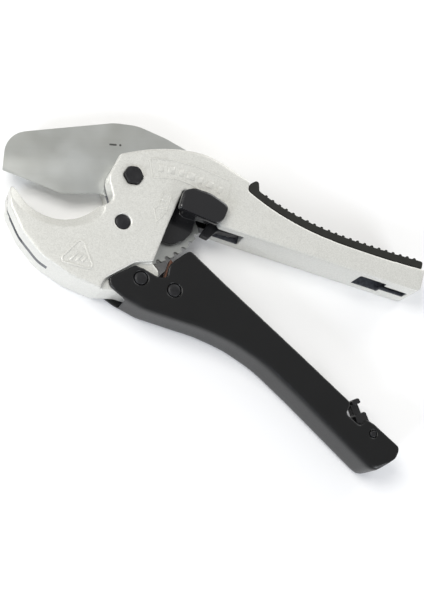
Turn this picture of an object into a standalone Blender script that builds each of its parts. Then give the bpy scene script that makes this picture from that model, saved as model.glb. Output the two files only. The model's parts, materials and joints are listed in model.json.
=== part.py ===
"""Ratchet pipe cutter for plastic pipe: cast frame, blade plate, lower handle, lever and lock catch.

The tool is laid out flat. The blade bolt's axis is x = y = 0, +X runs along the upper handle,
+Y points from the lower handle to the upper one, and z = 0 is the middle plane of the blade.
Lengths are in millimetres until a mesh is made. At the end the whole tool is moved so that the
origin is the middle of its bounding box at the lowest face.
"""
import math

import bmesh
import bpy
from mathutils import Matrix, Vector

MM = 0.001
GAP = 0.3              # air between two pieces that touch or slide
ARC_STEP = 15          # degrees between the points of an arc

# Overall sizes
THICKNESS = 20.0       # frame and lower handle, face to face
HANDLE_REACH = 152.5   # bolt axis to the end of the upper handle
HALF = THICKNESS / 2
EDGE_ROUND = 1.2       # rounding of the casting's and the channel's edges

# Pivots and pins: (x, y) of each axis
BOLT = (0.0, 0.0)
HANDLE_PIVOT = (15.0, -46.7)
STOP_PIN = (0.7, -23.3)
DRIVE_PIN = (31.2, -47.5)
HOLD_PIN = (54.0, -5.5)
LEVER_RIVET = (42.0, -1.0)
LOCK_PIN = (138.7, -85.7)

BOLT_RADIUS = 2.5
HEX_FLATS = 8.0        # bolt head and nut, across flats
HEAD_HEIGHT = 3.3
NUT_HEIGHT = 3.2
WASHER_HEIGHT = 0.8
SOCKET_RADIUS = 5.9    # round recess for the nut
SOCKET_FLOOR = 8.0     # floor of the six-sided pocket for the head, above the middle plane
LEVER_SPRING_RADIUS = 5.4   # recess round the bush for the thumb lever's spring
RETURN_SPRING_ROOM = 2.1    # between the handle's bush and its spring's recess, in radius
STOP_PIN_RADIUS = 3.5
PIVOT_RADIUS = 3.0     # handle rivet and drive pawl rivet
SMALL_PIN_RADIUS = 1.6
BLIND = 2.0            # the holding pawl's pin hole stops this far below the near face
LEVER_RIVET_RADIUS = 0.8
BUSH_WALL = 1.2

# Blade plate and ratchet sector
PLATE = 1.8
TOOTH_TIP = 40.7
TOOTH_ROOT = 38.9
TOOTH_PITCH = 6.8      # degrees
TOOTH_COUNT = 11
SECTOR_START = -91.5   # degrees, at the trailing end
BLADE_REACH = 59.0     # bolt axis to the blade's nose
BLADE_SWING = 31.0     # degrees, open to shut
SPINE_REACH = 36.2

# Jaw
SEAT_CENTRE = (-31.5, -8.7)
SEAT_RADIUS = 22.4
SEAT_CHAMFER = 4.4     # across the face
SEAT_CHAMFER_DEPTH = 2.8

# Upper handle
GRIP_EDGE = -10.3      # lower edge of the upper handle
GRIP_START = 55.2
GRIP_LOW = 118.0       # where the rubber's seat is lowest
GRIP_LOW_HEIGHT = 1.1
GRIP_FRONT_RISE = 10.9
GRIP_BACK_RISE = 1.3
GRIP_THICKNESS = 4.7
FRONT_SLOT_END = 59.0
FRONT_SLOT_HALF = 5.3
CATCH_SLOT = (121.0, 135.0, 148.0)  # wide part, neck, end
CATCH_SLOT_HALF = 6.0
CATCH_NECK_HALF = 2.7
CATCH_LIP = 2.3
CATCH_ROOM = 5.0

# Lower handle: a pressed channel
WALL = 2.2
LUG_RADIUS = 8.0
RECESS_HALF = HALF - WALL - GAP     # half thickness of the frame's lug

# Thumb lever and holding pawl
WING = 2.2             # thickness of a wing beside the blade
WING_INNER = PLATE / 2 + GAP
WING_OUTER = WING_INNER + WING
PAD_HEIGHT = 4.7       # thumb pad above the frame's face
PAWL_HALF = 2.3        # both pawls, half thickness

# Lock catch
CATCH_REACH = 18.0
CATCH_REST = 123.4     # degrees, folded


# ---------------------------------------------------------------- scene and materials

def clear_scene():
    for obj in list(bpy.data.objects):
        bpy.data.objects.remove(obj, do_unlink=True)


def collection(name):
    made = bpy.data.collections.new(name)
    bpy.context.scene.collection.children.link(made)
    return made


def material(name, colour, roughness, metallic=0.0):
    made = bpy.data.materials.new(name)
    made.use_nodes = True
    shader = made.node_tree.nodes["Principled BSDF"]
    shader.inputs["Base Color"].default_value = (*colour, 1.0)
    shader.inputs["Roughness"].default_value = roughness
    shader.inputs["Metallic"].default_value = metallic
    return made


# ---------------------------------------------------------------- outlines

def polar(radius, degrees, centre=BOLT):
    angle = math.radians(degrees)
    return (centre[0] + radius * math.cos(angle), centre[1] + radius * math.sin(angle))


def arc(centre, radius, start, end, step=ARC_STEP):
    """Points of an arc from start to end degrees, both included."""
    count = max(1, math.ceil(abs(end - start) / step))
    return [polar(radius, start + (end - start) * i / count, centre) for i in range(count + 1)]


def fillet(before, corner, after, radius):
    """The points that replace a corner by an arc of the given radius."""
    to_before = (Vector(before) - Vector(corner)).normalized()
    to_after = (Vector(after) - Vector(corner)).normalized()
    half = to_before.angle(to_after) / 2
    if radius <= 0 or half > math.radians(88):
        return [tuple(corner)]
    room = 0.49 * min((Vector(before) - Vector(corner)).length, (Vector(after) - Vector(corner)).length)
    reach = min(radius / math.tan(half), room)
    radius = reach * math.tan(half)
    centre = Vector(corner) + (to_before + to_after).normalized() * (radius / math.sin(half))
    first = Vector(corner) + to_before * reach - centre
    last = Vector(corner) + to_after * reach - centre
    start = math.degrees(math.atan2(first.y, first.x))
    turn = math.degrees(math.atan2(first.x * last.y - first.y * last.x, first.dot(last)))
    return arc(tuple(centre), radius, start, start + turn)


def rounded(corners):
    """A closed outline from corners (x, y) or (x, y, radius of the corner)."""
    points = []
    for i, corner in enumerate(corners):
        before = corners[i - 1][:2]
        after = corners[(i + 1) % len(corners)][:2]
        radius = corner[2] if len(corner) == 3 else 0
        points += fillet(before, corner[:2], after, radius)
    return points


def placed(corners, centre, degrees):
    """Corners drawn about (0, 0), turned and moved to a centre."""
    turn = Matrix.Rotation(math.radians(degrees), 2)
    out = []
    for corner in corners:
        x, y = turn @ Vector(corner[:2])
        out.append((x + centre[0], y + centre[1], *corner[2:]))
    return out


def seat_height(x):
    """Top face of the upper handle under the rubber insert."""
    front = max(0.0, (GRIP_LOW - x) / (GRIP_LOW - GRIP_START))
    back = max(0.0, (x - GRIP_LOW) / (HANDLE_REACH - GRIP_LOW))
    return GRIP_LOW_HEIGHT + GRIP_FRONT_RISE * front ** 2.6 + GRIP_BACK_RISE * back ** 2


# ---------------------------------------------------------------- solids

def link(obj, home):
    home.objects.link(obj)
    return obj


def tidy_mesh(mesh):
    """Weld a curve's loose caps and merge the flat triangles of each cap."""
    work = bmesh.new()
    work.from_mesh(mesh)
    bmesh.ops.remove_doubles(work, verts=work.verts, dist=1e-6)
    bmesh.ops.dissolve_limit(work, angle_limit=math.radians(1), verts=work.verts, edges=work.edges)
    bmesh.ops.recalc_face_normals(work, faces=work.faces)
    work.to_mesh(mesh)
    work.free()


def mesh_from_curve(curve):
    """Turn a curve object into a welded mesh object and remove the curve."""
    bpy.context.view_layer.update()
    evaluated = curve.evaluated_get(bpy.context.evaluated_depsgraph_get())
    mesh = bpy.data.meshes.new_from_object(evaluated)
    tidy_mesh(mesh)
    obj = bpy.data.objects.new(curve.name + "_mesh", mesh)
    obj.matrix_world = curve.matrix_world.copy()
    name = curve.name
    home = curve.users_collection[0]
    bpy.data.objects.remove(curve, do_unlink=True)
    obj.name = name
    return link(obj, home)


def plate(name, points, low, high, home):
    """A flat outline between two heights."""
    data = bpy.data.curves.new(name, "CURVE")
    data.dimensions = "2D"
    data.fill_mode = "BOTH"
    data.extrude = (high - low) / 2 * MM
    spline = data.splines.new("POLY")
    spline.points.add(len(points) - 1)
    for point, (x, y) in zip(spline.points, points):
        point.co = (x * MM, y * MM, 0, 1)
    spline.use_cyclic_u = True
    curve = link(bpy.data.objects.new(name, data), home)
    curve.location.z = (low + high) / 2 * MM
    return mesh_from_curve(curve)


def round_bar(name, centre, radius, low, high, home, sides=24, top_radius=None):
    """A cylinder or a cone along Z."""
    mesh = bpy.data.meshes.new(name)
    work = bmesh.new()
    bmesh.ops.create_cone(
        work, cap_ends=True, segments=sides, radius1=radius * MM,
        radius2=(radius if top_radius is None else top_radius) * MM, depth=(high - low) * MM)
    work.to_mesh(mesh)
    work.free()
    obj = link(bpy.data.objects.new(name, mesh), home)
    obj.location = (centre[0] * MM, centre[1] * MM, (low + high) / 2 * MM)
    return obj


def block(name, x, y, z, home):
    """A box from three (low, high) pairs."""
    mesh = bpy.data.meshes.new(name)
    work = bmesh.new()
    bmesh.ops.create_cube(work, size=1.0)
    spans = (x, y, z)
    bmesh.ops.scale(work, verts=work.verts, vec=[(high - low) * MM for low, high in spans])
    bmesh.ops.translate(work, verts=work.verts, vec=[(high + low) / 2 * MM for low, high in spans])
    work.to_mesh(mesh)
    work.free()
    return link(bpy.data.objects.new(name, mesh), home)


def coil(name, centre, radius, wire, low, high, turns, home, axis="Z"):
    """A coil spring: a wire on a helix about Z or Y, from low to high along its axis."""
    steps = 10
    count = int(turns * steps)
    data = bpy.data.curves.new(name, "CURVE")
    data.dimensions = "3D"
    data.bevel_depth = wire / 2 * MM
    data.bevel_resolution = 0
    data.use_fill_caps = True
    spline = data.splines.new("POLY")
    spline.points.add(count)
    for i, point in enumerate(spline.points):
        angle = 2 * math.pi * i / steps
        along = low + wire / 2 + (high - low - wire) * i / count
        across = (radius * math.cos(angle), radius * math.sin(angle))
        if axis == "Z":
            place = (centre[0] + across[0], centre[1] + across[1], along)
        else:
            place = (centre[0] + across[0], along, across[1])
        point.co = (*[value * MM for value in place], 1)
    return mesh_from_curve(link(bpy.data.objects.new(name, data), home))


def boolean(obj, other, operation="DIFFERENCE"):
    modifier = obj.modifiers.new(operation.title() + " " + other.name, "BOOLEAN")
    modifier.operation = operation
    modifier.solver = "EXACT"
    modifier.object = other
    other.hide_render = True
    other.display_type = "WIRE"


def bevel(obj, width, segments=2, angle=30):
    modifier = obj.modifiers.new("Bevel", "BEVEL")
    modifier.width = width * MM
    modifier.segments = segments
    modifier.limit_method = "ANGLE"
    modifier.angle_limit = math.radians(angle)
    modifier.use_clamp_overlap = False


def turned(name, centre, profile, home, sides=24):
    """A turned piece: a closed profile of (radius, z) swept about a vertical axis."""
    mesh = bpy.data.meshes.new(name)
    mesh.from_pydata([(r * MM, 0, z * MM) for r, z in profile],
                     [(i, (i + 1) % len(profile)) for i in range(len(profile))], [])
    obj = link(bpy.data.objects.new(name, mesh), home)
    obj.location = (centre[0] * MM, centre[1] * MM, 0)
    modifier = obj.modifiers.new("Screw", "SCREW")
    modifier.angle = 2 * math.pi
    modifier.steps = sides
    modifier.render_steps = sides
    modifier.use_merge_vertices = True
    modifier.merge_threshold = 1e-6
    return obj


def ring(name, centre, inner, outer, low, high, home, sides=24):
    """A tube or washer."""
    return turned(name, centre, [(outer, high), (outer, low), (inner, low), (inner, high)], home, sides)


def rivet(name, centre, radius, low, high, home, crown=0.4):
    """A straight rivet with a small chamfer at both ends."""
    obj = round_bar(name, centre, radius, low, high, home)
    bevel(obj, crown, 1, 60)
    return obj


# ---------------------------------------------------------------- frame casting

def frame_outline():
    """Jaw, body, notch for the thumb lever, and the upper handle."""
    px, py = HANDLE_PIVOT
    seat = arc(SEAT_CENTRE, SEAT_RADIUS, -28, -139, 6)
    throat = [(-8.4, 8.6, 2.2), (-11.3, -4.6, 8), (-5.4, -15.2, 4)]
    hook = [(-51.9, -22.2, 2), (-49.8, -32.0, 6), (-41.5, -42.2, 14), (-30.5, -50.4, 14),
            (-16.5, -55.2, 14), (-1.2, -57.0, 2)]
    lug = [(7.5, py - LUG_RADIUS, 4), (px + LUG_RADIUS, py - LUG_RADIUS, LUG_RADIUS - 0.1),
           (px + LUG_RADIUS, py + 6.5, 3)]
    notch = [(18.7, -37.0, 1.2), (21.2, -18.0, 12), (23.9, -1.5), (24.2, 1.7, 3.5), (44.5, 1.7, 3),
             (44.5, GRIP_EDGE, 2)]
    end = [(HANDLE_REACH - 0.8, GRIP_EDGE, 3.5), (HANDLE_REACH, seat_height(HANDLE_REACH))]
    steps = 14
    span = HANDLE_REACH - GRIP_START
    seat_line = [(HANDLE_REACH - span * i / steps, seat_height(HANDLE_REACH - span * i / steps))
                 for i in range(1, steps + 1)]
    crown = [(GRIP_START - 0.3, 16.6), (42.0, 21.6, 40), (30.0, 23.6, 40), (16.0, 21.0, 40), (1.5, 15.2, 40)]
    return rounded(throat + seat + hook + lug + notch + end + seat_line + crown)


def slot_outline():
    """The room that the blade plate needs from open to shut."""
    shut = BLADE_SWING + 1.5
    room = TOOTH_TIP + 1.5
    lead = SECTOR_START + TOOTH_COUNT * TOOTH_PITCH + BLADE_SWING + 3
    points = arc(BOLT, room, SECTOR_START - 4, lead, 8)
    points += arc(BOLT, SPINE_REACH + 0.6, lead, 88)
    points += [(-66.0, 40.0), (-66.0, 0.0)]
    points += arc(BOLT, BLADE_REACH + 0.7, 183, 194.5 + shut, 5)
    points += [polar(31.9, 208.5 + shut), polar(16.7, 217 + shut)]
    points += [polar(12.9, 235.5 + shut)]
    return points + [polar(24.5, 280.0), polar(27.6, 279.0), polar(27.6, 360 + SECTOR_START - 2.5)]


def pocket_outline():
    """The wider room beside the blade for the thumb lever's wings."""
    return rounded([(-8.2, -8.2, 7.8), (-8.2, 8.2, 7.8), (14, 8.6, 3), (30, 4.6, 1), (30, -31, 1),
                    (15, -29, 3), (6, -12, 4)])


def recess_outline():
    """What the casting loses beside its lug, so that the channel's cheeks lie flush."""
    return [(-1.8, -60.0), (-1.2, -54.0), (-0.4, -51.6), (10.7, -40.4), (18.9, -37.0), (26.0, -34.0),
            (30.0, -60.0)]


def frame_casting(home, cutters):
    casting = plate("frame_casting", frame_outline(), -HALF, HALF, home)
    bevel(casting, EDGE_ROUND, 1, 50)
    boolean(casting, plate("blade_slot", slot_outline(), -PLATE / 2 - GAP, PLATE / 2 + GAP, cutters))
    boolean(casting, plate("lever_pocket", pocket_outline(), -WING_OUTER - GAP, WING_OUTER + GAP, cutters))
    for side, low, high in (("near", RECESS_HALF, HALF + 1), ("far", -HALF - 1, -RECESS_HALF)):
        boolean(casting, plate("lug_recess_" + side, recess_outline(), low, high, cutters))
        boolean(casting, seat_chamfer(side, cutters))
    nut_floor = HALF - NUT_HEIGHT - WASHER_HEIGHT - 3 * GAP
    for cutter in (
            round_bar("bolt_hole", BOLT, BOLT_RADIUS + GAP, -HALF - 1, HALF + 1, cutters),
            round_bar("bush_hole", BOLT, bush_radius() + GAP, -WING_OUTER - GAP - 0.5,
                      WING_OUTER + GAP + 0.5, cutters),
            plate("head_pocket", hexagon(HEX_FLATS + 2 * GAP), SOCKET_FLOOR, HALF + 1, cutters),
            round_bar("nut_recess", BOLT, SOCKET_RADIUS, -HALF - 1, -nut_floor, cutters),
            round_bar("lever_spring_recess", BOLT, LEVER_SPRING_RADIUS, 0, SOCKET_FLOOR - 1.0, cutters),
            round_bar("stop_pin_hole", STOP_PIN, STOP_PIN_RADIUS + GAP, -HALF - 1, HALF + 1, cutters),
            round_bar("lug_bore", HANDLE_PIVOT, pivot_bush_radius() + GAP, -HALF, HALF, cutters),
            round_bar("return_spring_recess", HANDLE_PIVOT, pivot_bush_radius() + RETURN_SPRING_ROOM, -HALF, -RECESS_HALF + 4.0, cutters),
            round_bar("hold_pin_hole", HOLD_PIN, SMALL_PIN_RADIUS + GAP, -HALF - 1, HALF - BLIND, cutters)):
        boolean(casting, cutter)
    cut_handle_slots(casting, cutters)
    return casting


def seat_chamfer(side, cutters):
    """A wide cone round the seat, kept to the lower side of the jaw."""
    sign = 1 if side == "near" else -1
    over = 1.0
    slope = SEAT_CHAMFER / SEAT_CHAMFER_DEPTH
    inner = SEAT_RADIUS - over * slope
    outer = SEAT_RADIUS + SEAT_CHAMFER + over * slope
    ends = (HALF - SEAT_CHAMFER_DEPTH - over, HALF + over)
    low, high = sorted(sign * end for end in ends)
    first, last = (inner, outer) if sign > 0 else (outer, inner)
    cone = round_bar("seat_chamfer_" + side, SEAT_CENTRE, first, low, high, cutters, 72, last)
    limit = block("seat_chamfer_limit_" + side, (-60, -9.2), (-60, -17.5), (low - 1, high + 1), cutters)
    boolean(cone, limit, "INTERSECT")
    return cone


def cut_handle_slots(casting, cutters):
    """Slots in the underside of the upper handle: one for the holding pawl, one for the catch."""
    wide, neck, end = CATCH_SLOT
    inner = GRIP_EDGE + CATCH_LIP
    below = GRIP_EDGE - 1
    boxes = (
        ("pawl_slot", (40.0, FRONT_SLOT_END), (below, 1.6), FRONT_SLOT_HALF),
        ("catch_entry", (wide, neck), (below, inner + 1), CATCH_SLOT_HALF),
        ("catch_neck", (neck - 1, end), (below, inner + 1), CATCH_NECK_HALF),
        ("catch_room", (wide, end), (inner, inner + CATCH_ROOM), CATCH_SLOT_HALF - 0.01))
    for name, x, y, half in boxes:
        boolean(casting, block(name, x, y, (-half, half), cutters))


# ---------------------------------------------------------------- rubber insert

def handle_grip(home):
    """The insert on top of the upper handle, with a raised lip at its front."""
    steps = 12
    start = GRIP_START + GAP
    end = HANDLE_REACH - 1.6
    xs = [end + (start + 4.5 - end) * i / steps for i in range(steps + 1)]
    under = [(start + (end - start) * i / steps, seat_height(start + (end - start) * i / steps) + GAP)
             for i in range(steps + 1)]
    top = [(x, seat_height(x) + GRIP_THICKNESS) for x in xs]
    top[0] = (top[0][0], top[0][1], 2.2)
    lip = [(start + 3.2, 18.6, 1.5), (start, 15.6, 1.0)]
    grip = plate("handle_grip", rounded(under + top + lip), -HALF + 0.5, HALF - 0.5, home)
    bevel(grip, 0.9, 1, 50)
    return grip


# ---------------------------------------------------------------- blade, bolt and stop

def sector_teeth():
    """Ratchet teeth, steep on the side that the drive pawl pushes."""
    points = []
    for i in range(TOOTH_COUNT):
        start = SECTOR_START + i * TOOTH_PITCH
        points += [polar(TOOTH_ROOT, start), polar(TOOTH_TIP, start + 0.6), polar(TOOTH_TIP, start + 1.6),
                   polar(TOOTH_ROOT + 0.5, start + 0.72 * TOOTH_PITCH)]
    return points + [polar(TOOTH_ROOT, SECTOR_START + TOOTH_COUNT * TOOTH_PITCH)]


def bush_radius():
    return BOLT_RADIUS + GAP + BUSH_WALL


def blade(home, cutters):
    nose = [(-51.2, 8.4, 6), (-56.4, 5.2, 6), (-59.0, -3.0, 5), (-56.8, -13.6, 0.8)]
    edge = [(-28.0, -15.4, 20), (-12.5, -9.6, 6), (-3.4, -9.8, 3.4)]
    trailing = [(0.9, -9.4, 3), (4.9, -24.0, 1.5), (4.6, -28.2, 1.2), polar(28.2, SECTOR_START + 0.5)]
    back = [(35.4, -8.4, 1.0), (35.6, -2.0, 6), (31.0, 16.5, 14), (25.2, 25.4, 5), (12.0, 28.2, 20),
            (-2.8, 29.6, 20), (-14.0, 27.0, 20)]
    corners = nose + edge + trailing + sector_teeth() + back
    made = plate("blade", rounded(corners), -PLATE / 2, PLATE / 2, home)
    boolean(made, round_bar("blade_bore", BOLT, bush_radius() + GAP, -PLATE, PLATE, cutters))
    return made


def hexagon(flats):
    return [polar(flats / math.sqrt(3), 60 * i + 12) for i in range(6)]


def hex_solid(name, low, high, home, cutters):
    """A hexagon whose outer corners are turned off, as on a bolt head."""
    made = plate(name, hexagon(HEX_FLATS), low, high, home)
    up = high > 0
    edge = high if up else low
    inward = -1 if up else 1
    reach = HEX_FLATS / math.sqrt(3)
    profile = [(HEX_FLATS / 2 - 0.1, edge - inward * 0.2), (reach + 1, edge + inward * 2.4),
               (reach + 1, edge - inward * 0.2)]
    if up:
        profile.reverse()
    boolean(made, turned(name + "_chamfer", BOLT, profile, cutters, 48))
    return made


def blade_bolt(home, cutters):
    low = SOCKET_FLOOR + GAP
    bolt = hex_solid("blade_bolt", low, low + HEAD_HEIGHT, home, cutters)
    boolean(bolt, round_bar("bolt_shank", BOLT, BOLT_RADIUS, -HALF + GAP, low + 0.5, cutters), "UNION")
    return bolt


def nut_and_washer(home, cutters):
    floor = HALF - NUT_HEIGHT - WASHER_HEIGHT - 3 * GAP
    washer = ring("bolt_washer", BOLT, BOLT_RADIUS + GAP, SOCKET_RADIUS - 0.5,
                  -floor - GAP - WASHER_HEIGHT, -floor - GAP, home)
    top = -floor - 2 * GAP - WASHER_HEIGHT
    nut = hex_solid("blade_nut", top - NUT_HEIGHT, top, home, cutters)
    boolean(nut, round_bar("nut_bore", BOLT, BOLT_RADIUS + GAP, -HALF - 2, 0, cutters))
    return [washer, nut]


def blade_bush(home):
    reach = WING_OUTER + GAP + 0.2
    return ring("blade_bush", BOLT, BOLT_RADIUS + GAP, bush_radius(), -reach, reach, home)


def stop_pin(home):
    return rivet("stop_pin", STOP_PIN, STOP_PIN_RADIUS, -HALF + GAP, HALF - GAP, home)


# ---------------------------------------------------------------- thumb lever and holding pawl

def wing_outline():
    return rounded([(-6.6, -6.6, 6.4), (-6.6, 6.6, 6.4), (12, 6.6, 4), (27, 0.9, 3), (43.9, 0.9, 1.4),
                    (43.9, -2.6, 1.2), (36.3, -2.8, 2), (34.6, -9.0, 3), (34.3, -15.4, 2.5),
                    (31.4, -20.6, 5), (26.0, -24.2, 3.5), (19.5, -24.0, 5), (9, -9, 4)])


def stem_outline():
    return rounded([(26.6, -9.0, 2), (26.8, 0.6, 3.5), (43.0, 0.6, 3), (43.2, -8.6, 3)])


def pad_outline():
    return rounded([(23.3, -9.8, 1.6), (23.8, -0.4, 3.5), (28.4, 2.4, 5), (37.0, 2.4, 12),
                    (46.8, -0.9, 3), (45.8, -8.0, 6), (43.0, -11.6, 2)])


def lever_wing(name, low, high, home, cutters):
    """One wing of the thumb lever beside the blade, with its bore and its blind rivet hole."""
    wing = plate(name, wing_outline(), low, high, home)
    boolean(wing, round_bar(name + "_bore", BOLT, bush_radius() + GAP, low - 1, high + 1, cutters))
    return wing


def rivet_hole(name, low, high, cutters):
    return round_bar(name, LEVER_RIVET, LEVER_RIVET_RADIUS + GAP, low, high, cutters, 20)


def release_lever(home, cutters):
    near = lever_wing("release_lever", WING_INNER, WING_OUTER, home, cutters)
    boolean(near, plate("lever_stem", stem_outline(), WING_OUTER - 0.3, HALF + GAP + 0.3, cutters), "UNION")
    pad = plate("thumb_pad", pad_outline(), HALF + GAP, HALF + PAD_HEIGHT, cutters)
    bevel(pad, 1.3, 2, 50)
    boolean(near, pad, "UNION")
    boolean(near, rivet_hole("lever_rivet_hole_near", 0, WING_OUTER - 0.1, cutters))
    far = lever_wing("release_lever_far", -WING_OUTER, -WING_INNER, home, cutters)
    boolean(far, plate("far_stem", stem_outline(), -HALF + GAP, -WING_OUTER + 0.3, cutters), "UNION")
    boolean(far, rivet_hole("lever_rivet_hole_far", -WING_OUTER + 0.1, 0, cutters))
    pin = round_bar("lever_rivet", LEVER_RIVET, LEVER_RIVET_RADIUS, -WING_OUTER + 0.1 + GAP,
                    WING_OUTER - 0.1 - GAP, home, 20)
    return [near, far, pin]


def release_spring(home):
    return coil("release_spring", BOLT, 4.65, 0.5, WING_OUTER + GAP, SOCKET_FLOOR - 1.0 - GAP, 3, home)


def hold_pawl(home, cutters):
    tip = polar(TOOTH_TIP + 0.7, -19.8)
    corners = [(*tip, 0.5), (43.2, -14.6, 1.0), (46.4, -9.6, 3), (54.0, -9.0, 3), (58.4, -8.0, 1.5),
               (58.4, -3.0, 1.0), (51.5, -2.2, 3), (44.0, -5.0, 4), (*polar(TOOTH_TIP + 0.9, -13.0), 0.6)]
    pawl = plate("hold_pawl", rounded(corners), -PAWL_HALF, PAWL_HALF, home)
    bevel(pawl, 0.3, 1, 50)
    boolean(pawl, round_bar("hold_pawl_bore", HOLD_PIN, SMALL_PIN_RADIUS + GAP, -9, 9, cutters, 24))
    return pawl


def hold_pawl_pin(home):
    return round_bar("hold_pawl_pin", HOLD_PIN, SMALL_PIN_RADIUS, -HALF + GAP, HALF - BLIND - GAP, home, 24)


def hold_pawl_spring(home):
    return coil("hold_pawl_spring", (56.6, 0), 1.2, 0.4, -2.4, 1.6 - GAP, 4, home, "Y")


# ---------------------------------------------------------------- lower handle

def handle_bottom():
    """The channel's back, from the nose to the end."""
    return [(2.2, -54.3, 4), (9.0, -57.6, 6), (20.0, -60.3, 14), (49.0, -60.8, 50), (64.0, -63.0, 40),
            (80.0, -68.2, 60), (100.0, -79.0, 90), (142.4, -103.4, 4)]


def handle_outline():
    px, py = HANDLE_PIVOT
    end = [(152.0, -94.0, 4), (153.4, -88.6, 2.5), (138.8, -81.2, 1.5), (134.4, -79.8, 1)]
    catch_notch = [(131.6, -83.8, 1.4), (123.8, -80.0, 1.4), (125.2, -74.4, 2)]
    cheek_edge = [(96.5, -59.2, 60), (51.5, -35.8, 60), (34.2, -26.4, 2.2), (28.6, -33.0, 6)]
    front = [(26.2, -36.8, 4), (26.6, -42.8, 1.6), (22.6, -43.6, 2), (15.5, -41.9, 2),
             (px - 3.9, py + 5.3, 1.6), (0.8, -51.0, 1.5)]
    return rounded(handle_bottom() + end + catch_notch + cheek_edge + front)


def cavity_outline():
    """The inside of the channel: a wall's thickness above the back, open towards the upper handle."""
    inner = []
    spine = handle_bottom()[2:]
    for i, (x, y, radius) in enumerate(spine):
        run = Vector(spine[min(i + 1, len(spine) - 1)][:2]) - Vector(spine[max(i - 1, 0)][:2])
        out = Vector((-run.y, run.x)).normalized() * WALL
        inner.append((x + out.x, y + out.y, radius))
    inner[-1] = (142.0 - WALL, -103.0 + 2 * WALL, 3)
    front = [(-10, -70.0), (9.5, -70.0), (9.5, inner[0][1] + 0.6)]
    mouth = [(152.6 - WALL, -88.0, 1), (160, -60.0), (60, -10.0), (-10, -10.0)]
    return rounded(front + inner + mouth)


def lower_handle(home, cutters):
    handle = plate("lower_handle", handle_outline(), -HALF, HALF, home)
    bevel(handle, EDGE_ROUND, 1, 50)
    half = HALF - WALL
    boolean(handle, plate("channel_cavity", cavity_outline(), -half, half, cutters))
    holes = (("handle_pivot_hole", HANDLE_PIVOT, PIVOT_RADIUS), ("drive_pin_hole", DRIVE_PIN, PIVOT_RADIUS),
             ("lock_pin_hole", LOCK_PIN, SMALL_PIN_RADIUS))
    for name, centre, radius in holes:
        boolean(handle, round_bar(name, centre, radius + GAP, -HALF - 1, HALF + 1, cutters))
    return handle


def pivot_bush_radius():
    return PIVOT_RADIUS + GAP + BUSH_WALL


def handle_pins(home):
    pivot = rivet("handle_pivot_pin", HANDLE_PIVOT, PIVOT_RADIUS, -HALF + 0.2, HALF + 0.2, home)
    drive = rivet("drive_pawl_pin", DRIVE_PIN, PIVOT_RADIUS, -HALF + 0.2, HALF + 0.2, home)
    lock = rivet("lock_pin", LOCK_PIN, SMALL_PIN_RADIUS, -HALF + 0.2, HALF + 0.2, home, 0.3)
    return [pivot, drive, lock]


def pivot_bush(home):
    return ring("handle_bush", HANDLE_PIVOT, PIVOT_RADIUS + GAP, pivot_bush_radius(), -RECESS_HALF, RECESS_HALF,
                home)


def handle_return_spring(home):
    radius = pivot_bush_radius() + 1.15
    return coil("handle_return_spring", HANDLE_PIVOT, radius, 0.7, -RECESS_HALF + 0.2, -RECESS_HALF + 3.6, 3,
                home)


def drive_pawl(home, cutters):
    """A claw on the lower handle that pushes the sector's teeth."""
    reach = 17.5
    corners = [(reach, 0, 0.4), (11.0, 2.0, 5), (2.5, 4.6, 3.5), (-4.4, 4.2, 4), (-4.4, -4.4, 4), (3.5, -4.8, 4),
               (13.2, -2.9, 3)]
    pawl = plate("drive_pawl", rounded(placed(corners, DRIVE_PIN, 101.5)), -PAWL_HALF, PAWL_HALF, home)
    bevel(pawl, 0.3, 1, 50)
    boolean(pawl, round_bar("drive_pawl_bore", DRIVE_PIN, PIVOT_RADIUS + GAP, -9, 9, cutters))
    return pawl


def drive_pawl_spring(home):
    return coil("drive_pawl_spring", DRIVE_PIN, PIVOT_RADIUS + 1.0, 0.6, PAWL_HALF + GAP, HALF - WALL - GAP, 4,
                home)


# ---------------------------------------------------------------- lock catch

def lock_catch(home, cutters):
    """A T-headed hook that folds into the lower handle."""
    shoulder = CATCH_REACH - 7.0
    body = [(-3.4, -3.4, 3.3), (shoulder, -3.0, 1), (shoulder, 3.0, 1), (-3.4, 3.4, 3.3)]
    stalk = [(shoulder - 1, -2.0), (CATCH_REACH - 0.5, -2.0), (CATCH_REACH - 0.5, 2.0), (shoulder - 1, 2.0)]
    head = [(CATCH_REACH - 2.6, -2.2, 0.6), (CATCH_REACH, -2.2, 1), (CATCH_REACH, 2.2, 1),
            (CATCH_REACH - 2.6, 2.2, 0.6)]

    def solid(name, corners, half, where):
        return plate(name, rounded(placed(corners, LOCK_PIN, CATCH_REST)), -half, half, where)

    catch = solid("lock_catch", body, 4.8, home)
    boolean(catch, solid("catch_stalk", stalk, CATCH_NECK_HALF - 0.6, cutters), "UNION")
    boolean(catch, solid("catch_head", head, CATCH_SLOT_HALF - 0.8, cutters), "UNION")
    boolean(catch, round_bar("lock_catch_bore", LOCK_PIN, SMALL_PIN_RADIUS + GAP, -9, 9, cutters, 24))
    return catch


def lock_spring(home):
    return coil("lock_spring", LOCK_PIN, 2.5, 0.4, 4.8 + GAP, HALF - WALL - GAP, 3, home)


# ---------------------------------------------------------------- assembly

def axis_empty(name, centre, home, above):
    empty = link(bpy.data.objects.new(name, None), home)
    empty.parent = above
    offset = centre if above.name == "layout" else (centre[0] - HANDLE_PIVOT[0], centre[1] - HANDLE_PIVOT[1])
    empty.location = (offset[0] * MM, offset[1] * MM, 0)
    return empty


def hang(pieces, empty, centre):
    """Put pieces under an empty on their joint's axis, without moving them."""
    for piece in pieces:
        piece.parent = empty
        piece.location -= Vector((centre[0] * MM, centre[1] * MM, 0))


def finish(pieces, finish_material):
    for piece in pieces:
        piece.data.materials.clear()
        piece.data.materials.append(finish_material)
        piece.data.shade_smooth()
        piece.data.set_sharp_from_angle(angle=math.radians(35))


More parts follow.
